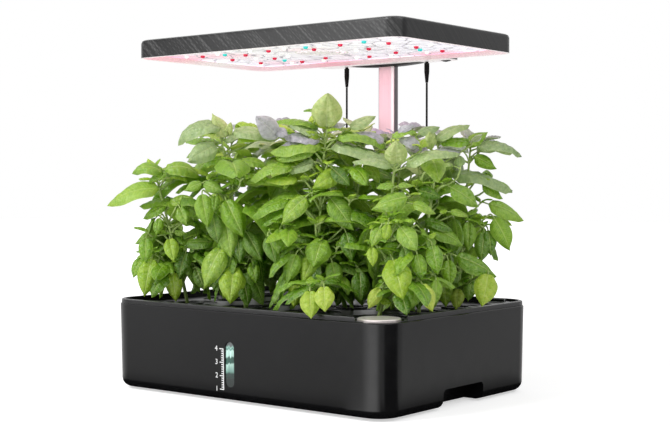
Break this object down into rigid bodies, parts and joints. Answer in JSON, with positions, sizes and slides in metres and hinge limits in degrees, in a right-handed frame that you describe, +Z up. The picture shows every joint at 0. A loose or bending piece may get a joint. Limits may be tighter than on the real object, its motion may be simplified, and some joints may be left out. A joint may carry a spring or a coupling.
{
  "type": "countertop hydroponic garden",
  "caption": "Water tank with a lift-out planting deck and a water pump, under a flat grow lamp that slides up and down on a telescopic pole behind the plants.",
  "frame": {"origin": "on the table, under the middle of the tank's outline", "axes": "+Z up; -Y is the front, with the level gauge; +X is the right side, with the control button at its front corner"},
  "size_m": [0.37, 0.267, 0.377],
  "materials": {
    "shell": "satin",
    "deck": "satin",
    "basket": "matte",
    "foliage": "satin",
    "button": "satin",
    "circuit": "satin",
    "window": "gloss",
    "float": "satin",
    "pump": "matte",
    "impeller": "satin",
    "hose": "satin",
    "trim": "satin",
    "pole": "satin",
    "lamp_shell": "satin",
    "reflector": "satin",
    "led_board": "satin",
    "guard": "satin",
    "steel": "satin",
    "rubber": "matte"
  },
  "bodies": {
    "base": {"tank_housing": "shell", "deck": "deck", "basket_1": "basket", "basket_2": "basket", "basket_3": "basket", "basket_4": "basket", "basket_5": "basket", "basket_6": "basket", "basket_7": "basket", "basket_8": "basket", "basket_9": "basket", "basket_10": "basket", "basket_11": "basket", "basket_12": "basket", "plant_1": "foliage", "plant_2": "foliage", "plant_3": "foliage", "plant_4": "foliage", "plant_5": "foliage", "plant_6": "foliage", "plant_7": "foliage", "plant_8": "foliage", "plant_9": "foliage", "plant_10": "foliage", "plant_11": "foliage", "plant_12": "foliage", "control_board": "circuit", "gauge_window": "window", "pump_housing": "pump", "pump_filter": "pump", "pump_hose": "hose", "pole_sleeve": "trim", "lead_left": "rubber", "lead_right": "rubber", "grommet_left": "rubber", "grommet_right": "rubber", "power_inlet": "trim", "driver_board": "circuit", "bay_cover": "trim", "foot_front_right": "rubber", "foot_front_left": "rubber", "foot_rear_right": "rubber", "foot_rear_left": "rubber"},
    "button": {"control_button": "button"},
    "float": {"gauge_float": "float"},
    "fill_cap": {"fill_cap": "deck"},
    "pump_rotor": {"pump_impeller": "impeller"},
    "pole_mid": {"pole_middle": "pole"},
    "lamp": {"pole_top": "pole", "pole_bracket": "trim", "lamp_housing": "lamp_shell", "lamp_reflector": "reflector", "led_board": "led_board", "lamp_rear_housing": "trim", "fan_guard": "guard", "fan_motor": "steel", "plug_left": "trim", "plug_right": "trim"},
    "fan": {"fan_rotor": "trim"},
    "switch": {"lamp_switch": "trim"}
  },
  "joints": [
    {"name": "lamp_lift", "type": "slide", "parent": "base", "child": "lamp", "axis": [0, 0, 1], "range_m": [-0.185, 0], "deforming": ["plant_1", "plant_2", "plant_3", "plant_4", "plant_5", "plant_6", "plant_7", "plant_8", "plant_9", "plant_10", "plant_11", "plant_12", "lead_left", "lead_right"]},
    {"name": "pole_middle_slide", "type": "slide", "parent": "base", "child": "pole_mid", "axis": [0, 0, 1], "range_m": [-0.0925, 0]},
    {"name": "fan_spin", "type": "hinge", "parent": "lamp", "child": "fan", "pos_m": [0, 0.0025, 0.366], "axis": [0, 0, 1], "continuous": true},
    {"name": "pump_spin", "type": "hinge", "parent": "base", "child": "pump_rotor", "pos_m": [-0.086, 0.035, 0.0193], "axis": [0, 1, 0], "continuous": true},
    {"name": "button_press", "type": "slide", "parent": "base", "child": "button", "axis": [0, 0, -1], "range_m": [0, 0.0008], "stiffness_N_per_m": 1500, "springref_m": -0.0005},
    {"name": "float_rise", "type": "slide", "parent": "base", "child": "float", "axis": [0, 0, 1], "range_m": [0, 0.033]},
    {"name": "fill_cap_lift", "type": "slide", "parent": "base", "child": "fill_cap", "axis": [0, 0, 1], "range_m": [0, 0.03]},
    {"name": "lamp_switch_rock", "type": "hinge", "parent": "lamp", "child": "switch", "pos_m": [0.0785, 0.123, 0.357], "axis": [0, 1, 0], "range_deg": [-12, 0]}
  ],
  "couplings": [
    {"joint": "pole_middle_slide", "follows": "lamp_lift", "ratio": 0.5}
  ]
}
